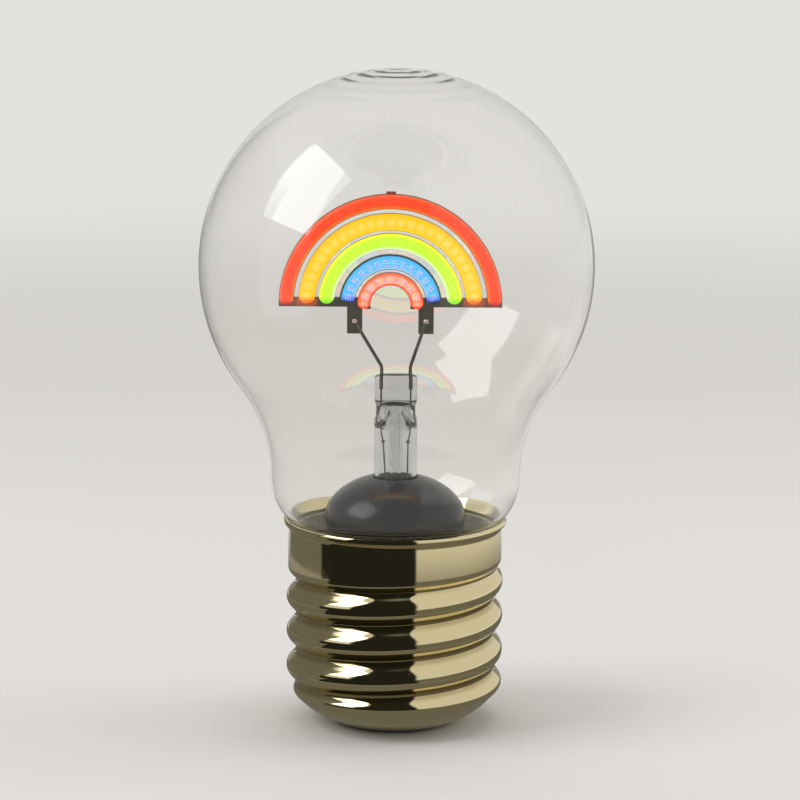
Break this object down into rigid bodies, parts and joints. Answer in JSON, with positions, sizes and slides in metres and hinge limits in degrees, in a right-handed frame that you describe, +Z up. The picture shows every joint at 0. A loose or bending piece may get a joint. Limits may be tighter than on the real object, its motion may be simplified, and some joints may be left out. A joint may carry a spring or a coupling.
{
  "type": "rainbow bulb lamp",
  "caption": "Cordless table lamp shaped like a light bulb: clear glass with a glowing rainbow of LED strips on a glass stem, standing on a brass screw base with a push-button underneath.",
  "frame": {"origin": "on the axis of the bulb, at the level of the foot ring that the lamp stands on", "axes": "+Z up along the axis of the bulb, -Y towards the front of the rainbow, +X to the right seen from the front"},
  "size_m": [0.085, 0.085, 0.1426],
  "materials": {
    "clear_glass": "polished",
    "stem_glass": "polished",
    "cement": "matte",
    "polished_brass": "polished",
    "black_plastic": "satin",
    "lead_wire": "drawn",
    "support_wire": "drawn",
    "solder": "satin",
    "dark_board": "satin",
    "cell_wrap": "gloss film",
    "nickel": "plated",
    "feed_insulation": "satin",
    "green_board": "satin",
    "component_black": "matte",
    "screw_steel": "plated",
    "foot_rubber": "matte",
    "red_silicone": "lit silicone",
    "amber_silicone": "lit silicone",
    "lime_silicone": "lit silicone",
    "blue_silicone": "lit silicone",
    "coral_silicone": "lit silicone",
    "red_chip": "lit chip",
    "amber_chip": "lit chip",
    "lime_chip": "lit chip",
    "blue_chip": "lit chip",
    "coral_chip": "lit chip"
  },
  "bodies": {
    "lamp": {"amber_chips": "amber_chip", "amber_coat": "amber_silicone", "base_plate": "black_plastic", "base_screws": "screw_steel", "battery_cell": "cell_wrap", "battery_strip_negative": "nickel", "battery_strip_positive": "nickel", "bedding_cement": "cement", "blue_chips": "blue_chip", "blue_coat": "blue_silicone", "board_components": "component_black", "chassis": "black_plastic", "control_board": "green_board", "coral_chips": "coral_chip", "coral_coat": "coral_silicone", "dome_cover": "black_plastic", "exhaust_tube": "stem_glass", "feed_wire_left": "feed_insulation", "feed_wire_right": "feed_insulation", "foot_ring": "foot_rubber", "glass_envelope": "clear_glass", "lead_wire_left": "lead_wire", "lead_wire_right": "lead_wire", "led_board": "dark_board", "lime_chips": "lime_chip", "lime_coat": "lime_silicone", "red_chips": "red_chip", "red_coat": "red_silicone", "screw_shell": "polished_brass", "stem_tube": "stem_glass", "support_wire_left": "support_wire", "support_wire_right": "support_wire", "switch_body": "component_black", "tab_solder": "solder", "usb_socket": "nickel", "usb_tongue": "black_plastic"},
    "button": {"power_button": "black_plastic", "switch_plunger": "black_plastic"}
  },
  "joints": [
    {"name": "power_button_press", "type": "slide", "parent": "lamp", "child": "button", "axis": [0, 0, 1], "range_m": [0, 0.0012], "stiffness_N_per_m": 600, "springref_m": -0.0008}
  ]
}
